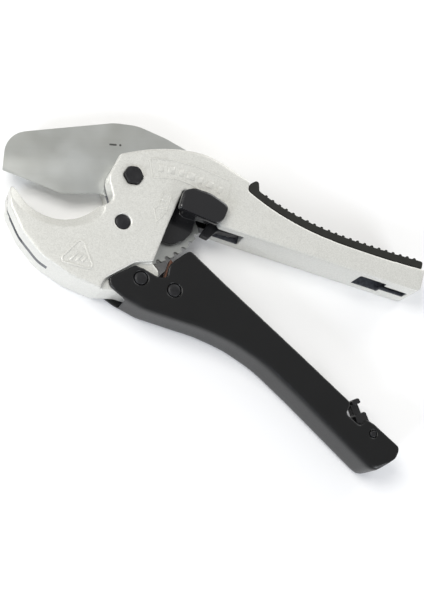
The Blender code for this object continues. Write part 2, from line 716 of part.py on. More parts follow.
def centre_on_base(layout, parts):
    """Move the tool so that its bounding box stands centred on the origin."""
    bpy.context.view_layer.update()
    graph = bpy.context.evaluated_depsgraph_get()
    points = []
    for part in parts:
        mesh = part.evaluated_get(graph).to_mesh()
        points += [part.matrix_world @ vertex.co for vertex in mesh.vertices]
    low = [min(point[i] for point in points) for i in range(3)]
    high = [max(point[i] for point in points) for i in range(3)]
    layout.location = (-(low[0] + high[0]) / 2, -(low[1] + high[1]) / 2, -low[2])
    bpy.context.view_layer.update()


def build():
    clear_scene()
    home = collection("pvc_pipe_cutter")
    cutters = collection("cutters")
    silver = material("silver_paint", (0.62, 0.61, 0.58), 0.42, 0.5)
    black = material("black_coat", (0.02, 0.02, 0.02), 0.55)
    gloss = material("gloss_black", (0.012, 0.012, 0.013), 0.2)
    rubber = material("rubber", (0.03, 0.03, 0.024), 0.75)
    steel = material("blade_steel", (0.42, 0.44, 0.44), 0.35, 1.0)
    oxide = material("black_oxide", (0.03, 0.03, 0.032), 0.4, 0.7)
    copper = material("brown_steel", (0.25, 0.12, 0.06), 0.4, 0.8)
    spring = material("spring_steel", (0.5, 0.5, 0.5), 0.3, 1.0)

    fixed = {
        silver: [frame_casting(home, cutters)],
        rubber: [handle_grip(home)],
        oxide: [blade_bolt(home, cutters), *nut_and_washer(home, cutters), stop_pin(home), hold_pawl_pin(home)],
        spring: [blade_bush(home), pivot_bush(home), handle_return_spring(home), release_spring(home),
                 hold_pawl_spring(home)],
    }
    plate_parts = {steel: [blade(home, cutters)]}
    lever_parts = {gloss: release_lever(home, cutters)}
    hold_parts = {oxide: [hold_pawl(home, cutters)]}
    handle_parts = {black: [lower_handle(home, cutters)], oxide: handle_pins(home),
                    spring: [drive_pawl_spring(home), lock_spring(home)]}
    drive_parts = {copper: [drive_pawl(home, cutters)]}
    catch_parts = {gloss: [lock_catch(home, cutters)]}

    layout = link(bpy.data.objects.new("layout", None), home)
    handle_axis = axis_empty("handle_axis", HANDLE_PIVOT, home, layout)
    groups = (
        (fixed, layout, (0, 0)),
        (plate_parts, axis_empty("blade_axis", BOLT, home, layout), BOLT),
        (lever_parts, axis_empty("lever_axis", BOLT, home, layout), BOLT),
        (hold_parts, axis_empty("hold_pawl_axis", HOLD_PIN, home, layout), HOLD_PIN),
        (handle_parts, handle_axis, HANDLE_PIVOT),
        (drive_parts, axis_empty("drive_pawl_axis", DRIVE_PIN, home, handle_axis), DRIVE_PIN),
        (catch_parts, axis_empty("lock_axis", LOCK_PIN, home, handle_axis), LOCK_PIN))
    parts = []
    for group, empty, centre in groups:
        for look, pieces in group.items():
            finish(pieces, look)
            hang(pieces, empty, centre)
            parts += pieces
    for cutter in cutters.objects:
        cutter.parent = layout
    centre_on_base(layout, parts)


build()
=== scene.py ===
import json
import math

import bmesh
import bpy
import numpy as np
from mathutils import Matrix, Vector


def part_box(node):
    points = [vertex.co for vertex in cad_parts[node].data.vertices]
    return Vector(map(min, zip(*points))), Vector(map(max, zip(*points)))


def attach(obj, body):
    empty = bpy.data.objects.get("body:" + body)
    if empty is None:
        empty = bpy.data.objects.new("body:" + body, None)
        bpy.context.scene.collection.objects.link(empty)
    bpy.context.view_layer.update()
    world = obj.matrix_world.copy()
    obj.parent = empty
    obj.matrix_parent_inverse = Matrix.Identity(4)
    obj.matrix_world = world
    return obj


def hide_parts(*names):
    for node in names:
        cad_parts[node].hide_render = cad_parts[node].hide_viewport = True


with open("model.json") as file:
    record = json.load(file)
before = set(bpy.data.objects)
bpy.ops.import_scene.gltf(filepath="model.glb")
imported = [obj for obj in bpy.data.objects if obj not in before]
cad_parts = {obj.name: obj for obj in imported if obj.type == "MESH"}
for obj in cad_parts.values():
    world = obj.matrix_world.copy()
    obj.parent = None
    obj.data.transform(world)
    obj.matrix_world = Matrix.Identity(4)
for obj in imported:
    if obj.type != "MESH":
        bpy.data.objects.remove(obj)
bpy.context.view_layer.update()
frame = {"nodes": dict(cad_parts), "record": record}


# ------------------------------------------------------------------ camera, floor and light
# The tool lies on a pale bench top. The camera looks down on it from the jaw's side, a little
# to the lower left, and four soft panels light it from round about.

MM = 0.001
JOINTS = {joint["name"]: joint for joint in frame["record"]["behaviour"]["joints"]}
BOLT = Vector(JOINTS["blade_swing"]["pos_m"])   # every place below is taken from the blade bolt
HALF = BOLT.z / MM                              # half of the thickness: the tool lies on its far face


def link(name, data):
    made = bpy.data.objects.new(name, data)
    bpy.context.scene.collection.objects.link(made)
    return made


def stand_camera(distance=0.4738):
    right = Vector((0.92732, 0.20520, 0.31300))
    up = Vector((-0.29164, 0.92032, 0.26068))
    towards = Vector((-0.128638, -0.428624, 0.905623))
    back = right.cross(up).normalized()
    up = back.cross(right.normalized())
    data = bpy.data.cameras.new("camera")
    data.lens = 61.8
    data.clip_end = 20
    camera = link("camera", data)
    turn = Matrix((right.normalized(), up, back)).transposed().to_4x4()
    place = BOLT + Vector((0, 0, HALF * MM)) + distance * towards
    camera.matrix_world = Matrix.Translation(place) @ turn
    bpy.context.scene.camera = camera


def bench():
    mesh = bpy.data.meshes.new("bench")
    work = bmesh.new()
    bmesh.ops.create_grid(work, x_segments=1, y_segments=1, size=3)
    work.to_mesh(mesh)
    work.free()
    floor = link("bench", mesh)
    floor.location.z = -0.2 * MM
    paint = bpy.data.materials.new("bench_white")
    paint.use_nodes = True
    shader = paint.node_tree.nodes["Principled BSDF"]
    shader.inputs["Base Color"].default_value = (0.96, 0.96, 0.96, 1)
    shader.inputs["Roughness"].default_value = 0.9
    shader.inputs["Specular IOR Level"].default_value = 0.1
    shader.inputs["Emission Color"].default_value = (1, 1, 1, 1)
    shader.inputs["Emission Strength"].default_value = 0.03
    mesh.materials.append(paint)


def panel(name, place, target, size, power, colour):
    data = bpy.data.lights.new(name, "AREA")
    data.size = size
    data.energy = power
    data.color = colour
    light = link(name, data)
    light.location = place
    aim = Vector(target) - Vector(place)
    light.rotation_euler = aim.to_track_quat("-Z", "Y").to_euler()


def studio(strength):
    world = bpy.data.worlds.new("studio")
    world.use_nodes = True
    background = world.node_tree.nodes["Background"]
    background.inputs["Color"].default_value = (1.0, 1.0, 1.0, 1)
    background.inputs["Strength"].default_value = strength
    bpy.context.scene.world = world
    bpy.context.scene.view_settings.view_transform = "Standard"


stand_camera()
bench()
panel("key_panel", (-0.55, 0.12, 0.8), (0, 0, 0), size=0.5, power=5.5, colour=(1, 0.985, 0.95))
panel("front_left_panel", (-0.62, -0.8, 0.5), (0, 0, 0), size=0.3, power=4.6, colour=(0.82, 0.88, 1))
panel("back_panel", (0.45, 0.85, 0.4), (0, 0, 0), size=0.5, power=3.0, colour=(1, 1, 1))
panel("front_right_panel", (0.75, -0.62, 0.5), (0.05, 0, 0), size=0.4, power=3.8, colour=(0.92, 0.95, 1))
studio(0.37)


# ------------------------------------------------------------------ frame casting
# The jaw, body and upper handle are one aluminium die casting, sprayed with silver paint that
# has a fine sparkle. Its edges are well rounded, and inside its slots the colour is painted
# dark: bare cast metal, darkened further as painted shade.

# Where the paint gives way to bare cast metal darkened as painted shade: the lever slot, the catch slot and
# the blade slot; the span in x, the span in y, half of the width
SHADED_CAST_INSIDES = (((39.5, 58.95), (-10.0, 1.5), 5.4), ((120.9, 148.05), (-10.0, -2.8), 6.1),
                 ((-60, 30), (-52, 30), 1.66))


class Wave:
    """A shader socket that can be used in sums."""

    def __init__(self, finish, socket):
        self.finish = finish
        self.socket = socket

    def maths(self, operation, first, second):
        return self.finish.node("ShaderNodeMath", {"operation": operation}, {0: first, 1: second})

    def __add__(self, other):
        return self.maths("ADD", self, other)

    def __radd__(self, other):
        return self.maths("ADD", other, self)

    def __sub__(self, other):
        return self.maths("SUBTRACT", self, other)

    def __rsub__(self, other):
        return self.maths("SUBTRACT", other, self)

    def __mul__(self, other):
        return self.maths("MULTIPLY", self, other)

    def __rmul__(self, other):
        return self.maths("MULTIPLY", other, self)

    def __gt__(self, other):
        return self.maths("GREATER_THAN", self, other)

    def __lt__(self, other):
        return self.maths("LESS_THAN", self, other)


class Finish:
    """A material with one Principled shader."""

    def __init__(self, name, colour, roughness, metallic=0.0, **sockets):
        self.material = bpy.data.materials.new(name)
        self.material.use_nodes = True
        self.tree = self.material.node_tree
        self.shader = self.tree.nodes["Principled BSDF"]
        self.shader.inputs["Base Color"].default_value = (*colour, 1)
        self.shader.inputs["Roughness"].default_value = roughness
        self.shader.inputs["Metallic"].default_value = metallic
        for socket, value in sockets.items():
            self.shader.inputs[socket.replace("_", " ")].default_value = value

    def put(self, socket, value):
        if isinstance(value, Wave):
            self.tree.links.new(value.socket, socket)
        else:
            socket.default_value = value

    def node(self, kind, settings, inputs, output=0):
        made = self.tree.nodes.new(kind)
        for key, value in settings.items():
            setattr(made, key, value)
        for key, value in inputs.items():
            self.put(made.inputs[key], value)
        return Wave(self, made.outputs[output])

    def place(self, scale=(1, 1, 1), degrees=0):
        """Object coordinates, stretched and turned about Z."""
        coordinates = self.node("ShaderNodeTexCoord", {}, {}, "Object")
        return self.node("ShaderNodeMapping", {"vector_type": "TEXTURE"}, {
            "Vector": coordinates, "Rotation": (0, 0, math.radians(degrees)),
            "Scale": tuple(1 / value for value in scale)})

    def noise(self, scale, detail, where=None):
        return self.node("ShaderNodeTexNoise", {}, {
            "Vector": where or self.place(), "Scale": scale, "Detail": detail, "Roughness": 0.5})

    def cells(self, scale):
        return self.node("ShaderNodeTexVoronoi", {}, {"Vector": self.place(), "Scale": scale}, "Color")

    def within(self, axis, span):
        """One where a place, in millimetres from the bolt, lies between two limits along an axis."""
        parts = self.node("ShaderNodeSeparateXYZ", {}, {
            "Vector": self.node("ShaderNodeTexCoord", {}, {}, "Object")}, axis)
        low, high = (BOLT[axis] + value * MM for value in span)
        return (parts > low) * (high > parts)

    def mix(self, factor, first, second):
        return self.node("ShaderNodeMix", {"data_type": "RGBA"}, {0: factor, 6: first, 7: second}, 2)

    def bump(self, height, distance, strength):
        made = self.node("ShaderNodeBump", {}, {"Height": height, "Distance": distance, "Strength": strength})
        self.put(self.shader.inputs["Normal"], made)

    def set(self, socket, value):
        self.put(self.shader.inputs[socket], value)


def silver_paint():
    paint = Finish("silver_paint", (0.66, 0.655, 0.61), 0.4, 0.3, Coat_Weight=0.35, Coat_Roughness=0.18)
    flakes = paint.node("ShaderNodeSeparateColor", {}, {"Color": paint.cells(2600)}, 0)
    speckle = paint.noise(1500, 2)
    tone = paint.mix(flakes, (0.57, 0.565, 0.52, 1), (0.74, 0.735, 0.69, 1))
    tone = paint.mix(speckle * 0.5, tone, (0.82, 0.82, 0.79, 1))
    tone = paint.mix(paint.noise(35, 3) * 0.35, tone, (0.64, 0.64, 0.59, 1))
    # Inside the slots the tone is painted dark: partly bare cast metal, partly painted shade.
    inside = 0
    for x, y, half in SHADED_CAST_INSIDES:
        inside = inside + paint.within(0, x) * paint.within(1, y) * paint.within(2, (-half, half))
    cast_and_shade = paint.mix(paint.noise(700, 4), (0.02, 0.022, 0.026, 1), (0.17, 0.18, 0.2, 1))
    paint.set("Base Color", paint.mix(inside, tone, cast_and_shade))
    paint.set("Roughness", 0.34 + 0.14 * flakes + 0.15 * inside)
    paint.bump(speckle + flakes * 0.3 + inside * paint.noise(900, 3) * 3, 0.00005, 0.8)
    return paint.material


def polar(radius, degrees, centre=(0, 0)):
    angle = math.radians(degrees)
    return (centre[0] + radius * math.cos(angle), centre[1] + radius * math.sin(angle))


def arc(centre, radius, start, end, step=5):
    count = max(1, math.ceil(abs(end - start) / step))
    return [polar(radius, start + (end - start) * i / count, centre) for i in range(count + 1)]


def fillet(before, corner, after, radius):
    """The points of an arc in place of a corner."""
    corner = Vector(corner)
    back = Vector(before) - corner
    ahead = Vector(after) - corner
    half = back.angle(ahead) / 2
    if radius <= 0 or half > math.radians(88.5):
        return [tuple(corner)]
    reach = min(radius / math.tan(half), 0.49 * back.length, 0.49 * ahead.length)
    radius = reach * math.tan(half)
    middle = (back.normalized() + ahead.normalized()).normalized()
    centre = corner + middle * (radius / math.sin(half))
    first = corner + back.normalized() * reach - centre
    last = corner + ahead.normalized() * reach - centre
    start = math.degrees(math.atan2(first.y, first.x))
    turn = math.degrees(math.atan2(first.x * last.y - first.y * last.x, first.dot(last)))
    return arc(tuple(centre), radius, start, start + turn)


def rounded(corners):
    """A closed outline from corners (x, y) or (x, y, radius), in millimetres from the bolt."""
    points = []
    for i, corner in enumerate(corners):
        radius = corner[2] if len(corner) == 3 else 0
        points += fillet(corners[i - 1][:2], corner[:2], corners[(i + 1) % len(corners)][:2], radius)
    return points


def add(name, work):
    """A bmesh in millimetres from the bolt becomes an object whose place is in its mesh."""
    bmesh.ops.recalc_face_normals(work, faces=work.faces)
    mesh = bpy.data.meshes.new(name)
    work.transform(Matrix.Translation(BOLT) @ Matrix.Scale(MM, 4))
    work.to_mesh(mesh)
    work.free()
    return link(name, mesh)


def plate(name, points, low, high):
    work = bmesh.new()
    base = work.faces.new([work.verts.new((x, y, low)) for x, y in points])
    lifted = bmesh.ops.extrude_face_region(work, geom=[base])
    bmesh.ops.translate(work, verts=[v for v in lifted["geom"] if isinstance(v, bmesh.types.BMVert)],
                        vec=(0, 0, high - low))
    return add(name, work)


def bar(name, centre, radius, low, high, sides=48, top=None):
    work = bmesh.new()
    bmesh.ops.create_cone(work, cap_ends=True, segments=sides, radius1=radius,
                          radius2=radius if top is None else top, depth=high - low)
    bmesh.ops.translate(work, verts=work.verts, vec=(centre[0], centre[1], (low + high) / 2))
    return add(name, work)


def box(name, x, y, z):
    work = bmesh.new()
    bmesh.ops.create_cube(work, size=1)
    spans = (x, y, z)
    bmesh.ops.scale(work, verts=work.verts, vec=[high - low for low, high in spans])
    bmesh.ops.translate(work, verts=work.verts, vec=[(high + low) / 2 for low, high in spans])
    return add(name, work)


def bake(piece):
    """Apply every modifier."""
    evaluated = piece.evaluated_get(bpy.context.evaluated_depsgraph_get())
    mesh = bpy.data.meshes.new_from_object(evaluated)
    piece.modifiers.clear()
    old = piece.data
    piece.data = mesh
    bpy.data.meshes.remove(old)
    return piece


def ramp(value, low, high):
    """From 0 at low to 1 at high."""
    return min(1.0, max(0.0, (value - low) / (high - low)))


def melt(piece, rounds, share):
    """Round the edges broadly where share(x, y) is near 1."""
    group = piece.vertex_groups.new(name="melt")
    for vertex in piece.data.vertices:
        place = (vertex.co - BOLT) / MM
        weight = share(place.x, place.y)
        if weight > 0:
            group.add([vertex.index], weight, "REPLACE")
    modifier = piece.modifiers.new("melt", "SMOOTH")
    modifier.factor = 0.5
    modifier.iterations = rounds
    modifier.vertex_group = "melt"
    bake(piece)
    piece.vertex_groups.clear()
    return piece


def remesh(piece, size):
    modifier = piece.modifiers.new("remesh", "REMESH")
    modifier.mode = "VOXEL"
    modifier.voxel_size = size * MM
    return bake(piece)


def combine(piece, other, operation="DIFFERENCE", solver="MANIFOLD"):
    modifier = piece.modifiers.new("combine", "BOOLEAN")
    modifier.operation = operation
    modifier.solver = solver
    modifier.object = other
    bake(piece)
    bpy.data.objects.remove(other, do_unlink=True)
    return piece


def soften(piece, rounds):
    """Take the steps of the remesh off a surface."""
    modifier = piece.modifiers.new("soften", "SMOOTH")
    modifier.factor = 0.5
    modifier.iterations = rounds
    return bake(piece)


def thin_out(piece, triangles):
    """Fewer triangles where the surface is plain."""
    count = sum(len(face.vertices) - 2 for face in piece.data.polygons)
    if count > triangles:
        modifier = piece.modifiers.new("thin", "DECIMATE")
        modifier.ratio = triangles / count
        bake(piece)
    return piece


def dress(piece, body, slot, look, *nodes, smooth=40):
    """Give a piece its finish, its body and the CAD nodes that it stands for."""
    piece.data.materials.clear()
    piece.data.materials.append(look)
    piece.data.shade_smooth()
    if smooth:
        piece.data.set_sharp_from_angle(angle=math.radians(smooth))
    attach(piece, body)
    if nodes:
        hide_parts(*nodes)
    return piece


def retint(node, look):
    """A new finish on a CAD node that is shown as it is."""
    shown = frame["nodes"][node]
    shown.data.materials.clear()
    shown.data.materials.append(look)


def pin_place(joint):
    """A joint's axis, in millimetres from the bolt."""
    place = (Vector(JOINTS[joint]["pos_m"]) - BOLT) / MM
    return (place.x, place.y)


def node_place(node):
    """The middle of a CAD node, in millimetres from the bolt."""
    low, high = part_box(node)
    place = ((Vector(low) + Vector(high)) / 2 - BOLT) / MM
    return (place.x, place.y)


def reach_of(node, axis, end):
    """How far a CAD node reaches, in millimetres from the bolt."""
    return (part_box(node)[end][axis] - BOLT[axis]) / MM


HANDLE_REACH = reach_of("frame_casting", 0, 1)
HANDLE_PIVOT = pin_place("handle_swing")
GAP = 0.3                     # air round each pin and part
GRIP_EDGE = -10.3             # lower edge of the upper handle
GRIP_START = 55.2             # where the rubber insert starts
GRIP_LOW = 118.0              # where its seat is lowest
SEAT_CENTRE = (-31.5, -8.7)   # the round seat for the pipe
SEAT_RADIUS = 22.4
SLOT_HALF = 1.2               # half of the width of the blade slot
SLIT_HALF = 1.5               # and of its slit in the rim of the hook
WING_OUTER = 3.4              # and of what moves in the pocket
LUG_HALF = 7.5                # and of the lug between the cheeks of the lower handle
SECTOR_START = -91.5          # where the ratchet sector starts, in degrees
BLADE_SWING = 31.0            # how far the blade turns to shut, in degrees
BEYOND = 11                   # past either face, for a cut that goes through
BOLT_HOLE = 2.8
NUT_RECESS = (5.9, -5.1)      # radius, and the height of its floor
SPRING_RECESS = (5.4, 0, 7)   # radius, and from where to where
STOP_PIN_HOLE = 3.7
PIVOT_HOLE = 4.8
PIVOT_RECESS = (6.6, -3.5)
HOLD_PIN_HOLE = (1.9, 8)
HEX_POCKET = (8.3, 8, 12)     # across its flats, the height of its floor, and its turn in degrees
LEVER_SLOT = ((40, 59), (-11.3, 1.6), 5.3)
CATCH_SLOTS = (((121, 135), (-11.3, -7), 6), ((134, 148), (-11.3, -7), 2.7), ((121, 148), (-8, -3), 6))


def seat_height(x):
    """Top face of the upper handle under the rubber insert."""
    front = max(0.0, (GRIP_LOW - x) / (GRIP_LOW - GRIP_START))
    back = max(0.0, (x - GRIP_LOW) / (HANDLE_REACH - GRIP_LOW))
    return 1.1 + 10.9 * front ** 2.6 + 1.3 * back ** 2


def frame_outline():
    px, py = HANDLE_PIVOT
    seat = arc(SEAT_CENTRE, SEAT_RADIUS, -28, -139, 3)
    throat = [(-8.4, 8.6, 2.2), (-11.3, -4.6, 8), (-5.4, -15.2, 4)]
    hook = [(-51.9, -22.2, 2), (-49.8, -32.0, 6), (-41.5, -42.2, 14), (-30.5, -50.4, 14),
            (-16.5, -55.2, 14), (-1.2, -57.0, 2)]
    lug = [(7.5, py - 8, 4), (px + 8, py - 8, 7.9), (px + 8, py + 6.5, 3)]
    notch = [(18.7, -37.0, 1.2), (21.2, -18.0, 12), (23.9, -1.5), (24.2, 1.7, 3.5), (44.5, 1.7, 3),
             (44.5, GRIP_EDGE, 2)]
    end = [(HANDLE_REACH - 0.8, GRIP_EDGE, 3.5), (HANDLE_REACH, seat_height(HANDLE_REACH))]
    xs = np.linspace(HANDLE_REACH - 2, GRIP_START, 40)
    crown = [(GRIP_START - 0.3, 16.6), (42.0, 21.6, 60), (30.0, 23.6, 60), (16.0, 21.0, 60), (1.5, 15.2, 60)]
    return rounded(throat + seat + hook + lug + notch + end + [(x, seat_height(x)) for x in xs] + crown)


def slot_outline():
    """The thin slot that the blade moves in."""
    shut = BLADE_SWING + 2.2
    lead = SECTOR_START + 74.8 + BLADE_SWING + 4
    points = arc((0, 0), 42.3, SECTOR_START - 4, lead)
    points += arc((0, 0), 36.8, lead, 88) + [(-66, 40), (-66, 0)]
    points += arc((0, 0), 59.7, 183, 194.5 + shut, 3)
    points += [polar(31.9, 208.5 + shut), polar(16.7, 217 + shut), polar(13.2, 234.8 + shut)]
    return points + [polar(24.5, 280), polar(27.6, 279), polar(27.6, 360 + SECTOR_START - 2.5)]


def slit_outline():
    """The slit in the rim of the hook, where the shut blade comes through."""
    outer = [polar(62.5, 216)] + arc((0, 0), 62.5, 214, 206) + [polar(62.5, 204)]
    return [polar(56, 216)] + outer + [polar(56, 204)]


def pocket_outline():
    """The open middle of the casting, for the sector, the holding pawl and the lever's neck."""
    return rounded([(-8.2, -8.2, 7.8), (-8.2, 8.2, 7.8), (14, 8.6, 3), (30, 4.6, 1), (30, -31, 1),
                    (15, -29, 3), (6, -12, 4)])


def recess_outline():
    """Where each face is cut back for a cheek of the lower handle."""
    return rounded([(-1.8, -60), (-1.2, -54.0, 1.5), (-0.4, -51.6, 1.5), (10.7, -40.4, 2), (18.9, -37.0, 2),
                    (26, -34), (30, -60)])


def seat_chamfer(side):
    """A wide chamfer along the seat, on the lower side of the jaw only."""
    ends = sorted((side * (HALF - 3.8), side * (HALF + 1)))
    radii = (20.8, 28.4) if side > 0 else (28.4, 20.8)
    cone = bar("chamfer", SEAT_CENTRE, radii[0], *ends, 120, radii[1])
    limit = box("limit", (-60, -9.2), (-60, -17.5), (ends[0] - 1, ends[1] + 1))
    return combine(cone, limit, "INTERSECT")


def casting_mesh():
    body = plate("casting", frame_outline(), -HALF, HALF)
    remesh(body, size=0.5)
    melt(body, 80, lambda x, y: ramp(y, 8, 13) * ramp(x, -9, -2) * ramp(-x, -54, -46))
    melt(body, 14, lambda x, y: ramp(-y - 0.4 * x, 8, 20) * ramp(-x, -2, 8))
    combine(body, plate("cut", slot_outline(), -SLOT_HALF, SLOT_HALF))
    combine(body, plate("cut", slit_outline(), -SLIT_HALF, SLIT_HALF))
    combine(body, plate("cut", pocket_outline(), -WING_OUTER - GAP, WING_OUTER + GAP))
    for side in (1, -1):
        ends = sorted((side * LUG_HALF, side * (HALF + 1)))
        combine(body, plate("cut", recess_outline(), *ends))
        combine(body, seat_chamfer(side))
    for centre, radius, low, high in (
            ((0, 0), BOLT_HOLE, -BEYOND, BEYOND), ((0, 0), NUT_RECESS[0], -BEYOND, NUT_RECESS[1]),
            (node_place("stop_pin"), STOP_PIN_HOLE, -BEYOND, BEYOND),
            (HANDLE_PIVOT, PIVOT_HOLE, -BEYOND, BEYOND),
            (HANDLE_PIVOT, PIVOT_RECESS[0], -BEYOND, PIVOT_RECESS[1]),
            (pin_place("hold_pawl_lift"), HOLD_PIN_HOLE[0], -BEYOND, HOLD_PIN_HOLE[1]),
            ((0, 0), *SPRING_RECESS)):
        combine(body, bar("cut", centre, radius, low, high))
    flats, floor, turn = HEX_POCKET
    hexagon = [polar(flats / math.sqrt(3), 60 * i + turn) for i in range(6)]
    combine(body, plate("cut", hexagon, floor, BEYOND))
    for x, y, half in (LEVER_SLOT, *CATCH_SLOTS):
        combine(body, box("cut", x, y, (-half, half)))
    remesh(body, size=0.45)
    soften(body, rounds=6)
    return thin_out(body, triangles=185000)


casting = casting_mesh()
dress(casting, "frame", "silver_paint", silver_paint(), "frame_casting", smooth=0)
casting.name = "cast_frame"


# ------------------------------------------------------------------ cast marks
# Low raised lines and pads on the near face, cast in one with the frame and painted with it.
# They are plain shapes: a curved panel with a row of pads, a blank arrow and a small triangle.

LINE_HEIGHT = 0.22
PAD_HEIGHT = 0.25


def inset(points, distance):
    """An outline moved inwards, for one that runs clockwise."""
    moved = []
    for i, point in enumerate(points):
        back = (Vector(point) - Vector(points[i - 1])).normalized()
        ahead = (Vector(points[(i + 1) % len(points)]) - Vector(point)).normalized()
        first, last = Vector((back.y, -back.x)), Vector((ahead.y, -ahead.x))
        shift = (first + last) / max(0.3, 1 + first.dot(last)) * distance
        moved.append((point[0] + shift.x, point[1] + shift.y))
    return moved


def raised_line(corners, width, height):
    """A thin raised line along a closed outline."""
    inner = [(*spot, max(0.1, corner[2] - width))
             for spot, corner in zip(inset([corner[:2] for corner in corners], width), corners)]
    made = plate("line", rounded(corners), HALF - 0.5, HALF + height)
    return combine(made, plate("cut", rounded(inner), HALF - 1, HALF + 1))


def join(name, pieces):
    work = bmesh.new()
    for piece in pieces:
        work.from_mesh(piece.data)
        bpy.data.objects.remove(piece, do_unlink=True)
    mesh = bpy.data.meshes.new(name)
    work.to_mesh(mesh)
    work.free()
    return link(name, mesh)


def pad(centre, size, degrees, height):
    cosine, sine = math.cos(math.radians(degrees)), math.sin(math.radians(degrees))
    corners = [(-1, -1), (-1, 1), (1, 1), (1, -1)]
    points = [(centre[0] + (a * size[0] * cosine - b * size[1] * sine) / 2,
               centre[1] + (a * size[0] * sine + b * size[1] * cosine) / 2) for a, b in corners]
    return plate("pad", points, HALF - 0.5, HALF + height)


def marks():
    panel_line = [(8.6, 1.9, 0.6), (5.0, 11.3, 0.6), (16.0, 14.4, 30), (30.0, 15.2, 30), (46.6, 13.4, 0.8),
                  (46.8, 5.6, 3), (45.2, 2.6, 0.8), (35.1, 2.6, 20), (26.9, 5.0, 20), (19.4, 5.2, 20)]
    arrow = [(15.7, -18.9, 0.3), (12.7, -12.4, 0.4), (14.1, -11.2, 0.2), (15.4, -2.8, 0.4), (19.9, -4.0, 0.4),
             (19.0, -12.8, 0.2), (18.2, -14.4, 0.3)]
    triangle = [(-5.2, -50.2, 2.2), (-23.2, -50.9, 2.2), (-15.3, -36.0, 2.2)]
    pieces = [raised_line(panel_line, 0.55, LINE_HEIGHT), raised_line(arrow, 0.5, LINE_HEIGHT),
              raised_line(triangle, 0.8, PAD_HEIGHT)]
    for i, width in enumerate((3.0, 4.6, 3.0, 5.2, 3.0, 4.2, 3.0)):
        across = 11.6 + i * 4.9
        lift = 9.3 - 0.0075 * (across - 24) ** 2
        tilt = -1.3 * (across - 24) * 0.6
        pieces.append(pad((across, lift), (width * 0.72, 3.6), tilt, PAD_HEIGHT))
    for i in range(3):
        pieces.append(pad((16.5 + 0.25 * i, -7.0 - 2.2 * i), (2.4, 0.9), -8, LINE_HEIGHT))
    for i in range(3):
        pieces.append(pad((-16.4 + 2.4 * i, -46.2), (1.0, 5.4 - i), -28, PAD_HEIGHT))
    made = join("cast_marks", pieces)
    edge = made.modifiers.new("edge", "BEVEL")
    edge.width = 0.12 * MM
    edge.segments = 2
    edge.limit_method = "ANGLE"
    edge.angle_limit = math.radians(50)
    edge.use_clamp_overlap = True
    return bake(made)


dress(marks(), "frame", "silver_paint", casting.data.materials[0], smooth=30)


# ------------------------------------------------------------------ blade plate
# One hardened steel plate, with its ratchet sector punched in one with it. It is ground thin from
# the back to the edge on both sides, and honed along the edge.

BLADE_HALF = 0.9
BLADE_BORE = 4.3
TOOTH_CIRCLE = 40.7
TEETH = 11
TOOTH_PITCH = 6.8             # in degrees


def blade_steel():
    steel = Finish("blade_steel", (0.6, 0.6, 0.56), 0.36, 1.0)
    blotch = steel.noise(55, 4)
    patch = steel.noise(28, 3, steel.place((1, 2.2, 1), 18))
    scratch = steel.noise(900, 2, steel.place((0.04, 1, 1), 18))
    tone = steel.mix(blotch, (0.53, 0.53, 0.46, 1), (0.69, 0.71, 0.70, 1))
    tone = steel.mix(patch * 0.5, tone, (0.56, 0.60, 0.63, 1))
    steel.set("Base Color", steel.mix(scratch * 0.3, tone, (0.70, 0.70, 0.68, 1)))
    steel.set("Roughness", 0.30 + 0.18 * blotch)
    steel.bump(scratch, 0.00003, 0.5)
    return steel.material


def blade_outline():
    teeth = []
    gullet = ((TOOTH_CIRCLE, 0.0), (39.7, 0.1), (39.15, 0.5), (38.95, 1.05), (39.15, 1.6), (39.7, 2.05),
              (40.45, 2.4), (TOOTH_CIRCLE, 2.7))
    for i in range(TEETH):
        start = SECTOR_START + i * TOOTH_PITCH
        teeth += [polar(reach, start + math.degrees(along / TOOTH_CIRCLE)) for reach, along in gullet]
    teeth.append(polar(38.9, SECTOR_START + TEETH * TOOTH_PITCH))
    nose = [(-59.9, 4.1, 13), (-56.8, -13.6, 0.8)]
    edge = [(-28.0, -15.4, 6), (-12.5, -9.6, 6), (-3.4, -9.8, 3.4)]
    trailing = [(0.9, -9.4, 3), (4.9, -24.0, 1.5), (4.6, -28.2, 1.2), polar(28.2, SECTOR_START + 0.5)]
    back = [(35.4, -8.4, 1.0), (35.6, -2.0, 6), (31.0, 16.5, 14), (25.2, 25.4, 5), (12.0, 28.2, 20),
            (-2.8, 29.6, 20), (-14.0, 27.0, 20)]
    return rounded(nose + edge + trailing + teeth + back)


def sweep(name, path, spots):
    """A solid that follows a path: each spot is (distance inwards from the path, height)."""
    work = bmesh.new()
    rows = []
    for i, point in enumerate(path):
        ahead = Vector(path[min(i + 1, len(path) - 1)]) - Vector(path[max(i - 1, 0)])
        inward = Vector((-ahead.y, ahead.x)).normalized()
        rows.append([work.verts.new((point[0] + inward.x * reach, point[1] + inward.y * reach, z))
                     for reach, z in spots])
    count = len(spots)
    for first, last in zip(rows, rows[1:]):
        for i in range(count):
            work.faces.new((first[i], first[i - 1], last[i - 1], last[i]))
    work.faces.new(rows[0])
    work.faces.new(rows[-1][::-1])
    return add(name, work)


def blade_mesh():
    made = plate("cutting_blade", blade_outline(), -BLADE_HALF, BLADE_HALF)
    combine(made, bar("cut", (0, 0), BLADE_BORE, -2, 2))
    edge = [(-60, -13.4), (-28.6, -15.3), (-27.4, -15.2), (-12.7, -9.7), (-3, -9.7)]
    line = [(-70, -10.4), (-8, 10.7)]
    for side in (1, -1):
        wide = [(0, BLADE_HALF), (-24, -0.1), (-24, 2), (0, 2)]
        combine(made, sweep("grind", line, [(reach, side * z) for reach, z in wide]), solver="EXACT")
        fine = [(-1.0, -0.3), (-1.0, 1.6), (2.5, 1.6), (2.5, 1.0)]
        combine(made, sweep("hone", edge, [(reach, side * z) for reach, z in fine]), solver="EXACT")
    return made


blade = blade_mesh()
dress(blade, "blade", "blade_steel", blade_steel(), "blade", smooth=20)


